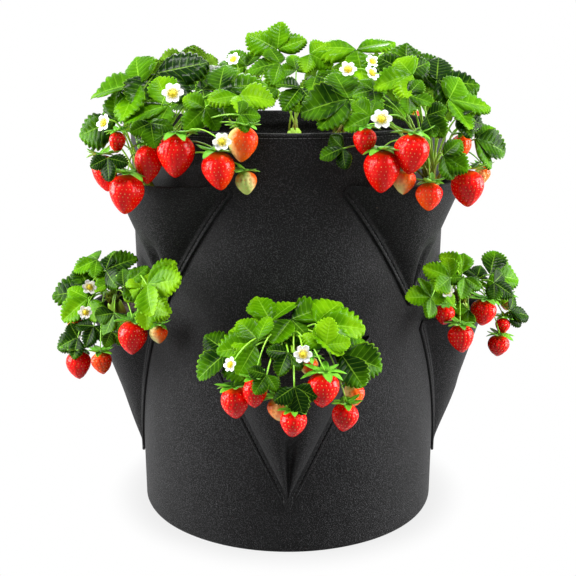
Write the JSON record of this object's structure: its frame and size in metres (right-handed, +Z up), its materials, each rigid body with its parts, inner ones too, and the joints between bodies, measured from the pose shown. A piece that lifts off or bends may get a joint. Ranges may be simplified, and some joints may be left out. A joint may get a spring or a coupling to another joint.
{
  "type": "strawberry planter",
  "caption": "Cylindrical felt planter with sewn-on V-shaped side pockets, filled with soil and planted with fruiting strawberry plants that lift out with their root plugs.",
  "frame": {"origin": "centre of the base's underside", "axes": "+Z up, -Y towards the pocket that faces the viewer"},
  "size_m": [0.544, 0.576, 0.5625],
  "materials": {
    "felt": "charcoal nonwoven felt, matt",
    "soil": "loose dark potting soil",
    "leaf": "fresh green leaf, slightly glossy",
    "berry": "ripe red fruit, glossy",
    "petal": "thin white petals with a yellow eye"
  },
  "bodies": {
    "bag": {"felt_base": "felt", "felt_wall": "felt", "pocket_lower_back": "felt", "pocket_lower_front": "felt", "pocket_lower_left": "felt", "pocket_lower_right": "felt", "pocket_soil": "soil", "pocket_upper_back_left": "felt", "pocket_upper_back_right": "felt", "pocket_upper_front_left": "felt", "pocket_upper_front_right": "felt", "potting_soil": "soil"},
    "lower_front_plant": {"lower_front_berries": "berry", "lower_front_flowers": "petal", "lower_front_leaves": "leaf", "lower_front_root_plug": "soil"},
    "lower_right_plant": {"lower_right_berries": "berry", "lower_right_flowers": "petal", "lower_right_leaves": "leaf", "lower_right_root_plug": "soil"},
    "lower_back_plant": {"lower_back_berries": "berry", "lower_back_flowers": "petal", "lower_back_leaves": "leaf", "lower_back_root_plug": "soil"},
    "lower_left_plant": {"lower_left_berries": "berry", "lower_left_flowers": "petal", "lower_left_leaves": "leaf", "lower_left_root_plug": "soil"},
    "upper_front_left_plant": {"upper_front_left_berries": "berry", "upper_front_left_flowers": "petal", "upper_front_left_leaves": "leaf", "upper_front_left_root_plug": "soil"},
    "upper_front_right_plant": {"upper_front_right_berries": "berry", "upper_front_right_flowers": "petal", "upper_front_right_leaves": "leaf", "upper_front_right_root_plug": "soil"},
    "upper_back_right_plant": {"upper_back_right_berries": "berry", "upper_back_right_flowers": "petal", "upper_back_right_leaves": "leaf", "upper_back_right_root_plug": "soil"},
    "upper_back_left_plant": {"upper_back_left_berries": "berry", "upper_back_left_flowers": "petal", "upper_back_left_leaves": "leaf", "upper_back_left_root_plug": "soil"},
    "top_left_plant": {"top_left_flowers": "petal", "top_left_leaves": "leaf", "top_left_root_plug": "soil"},
    "top_right_plant": {"top_right_flowers": "petal", "top_right_leaves": "leaf", "top_right_root_plug": "soil"},
    "top_back_plant": {"top_back_leaves": "leaf", "top_back_root_plug": "soil"}
  },
  "joints": [
    {"name": "lower_front_lift", "type": "slide", "parent": "bag", "child": "lower_front_plant", "axis": [0, -0.2079, 0.9781], "range_m": [0, 0.06]},
    {"name": "lower_right_lift", "type": "slide", "parent": "bag", "child": "lower_right_plant", "axis": [0.2071, -0.0181, 0.9781], "range_m": [0, 0.06]},
    {"name": "lower_back_lift", "type": "slide", "parent": "bag", "child": "lower_back_plant", "axis": [0, 0.2079, 0.9781], "range_m": [0, 0.06]},
    {"name": "lower_left_lift", "type": "slide", "parent": "bag", "child": "lower_left_plant", "axis": [-0.2071, -0.0181, 0.9781], "range_m": [0, 0.06]},
    {"name": "upper_front_left_lift", "type": "slide", "parent": "bag", "child": "upper_front_left_plant", "axis": [-0.1521, -0.1418, 0.9781], "range_m": [0, 0.06]},
    {"name": "upper_front_right_lift", "type": "slide", "parent": "bag", "child": "upper_front_right_plant", "axis": [0.1521, -0.1418, 0.9781], "range_m": [0, 0.06]},
    {"name": "upper_back_right_lift", "type": "slide", "parent": "bag", "child": "upper_back_right_plant", "axis": [0.1521, 0.1418, 0.9781], "range_m": [0, 0.06]},
    {"name": "upper_back_left_lift", "type": "slide", "parent": "bag", "child": "upper_back_left_plant", "axis": [-0.1521, 0.1418, 0.9781], "range_m": [0, 0.06]},
    {"name": "top_left_lift", "type": "slide", "parent": "bag", "child": "top_left_plant", "axis": [0, 0, 1], "range_m": [0, 0.08]},
    {"name": "top_right_lift", "type": "slide", "parent": "bag", "child": "top_right_plant", "axis": [0, 0, 1], "range_m": [0, 0.08]},
    {"name": "top_back_lift", "type": "slide", "parent": "bag", "child": "top_back_plant", "axis": [0, 0, 1], "range_m": [0, 0.08]}
  ]
}
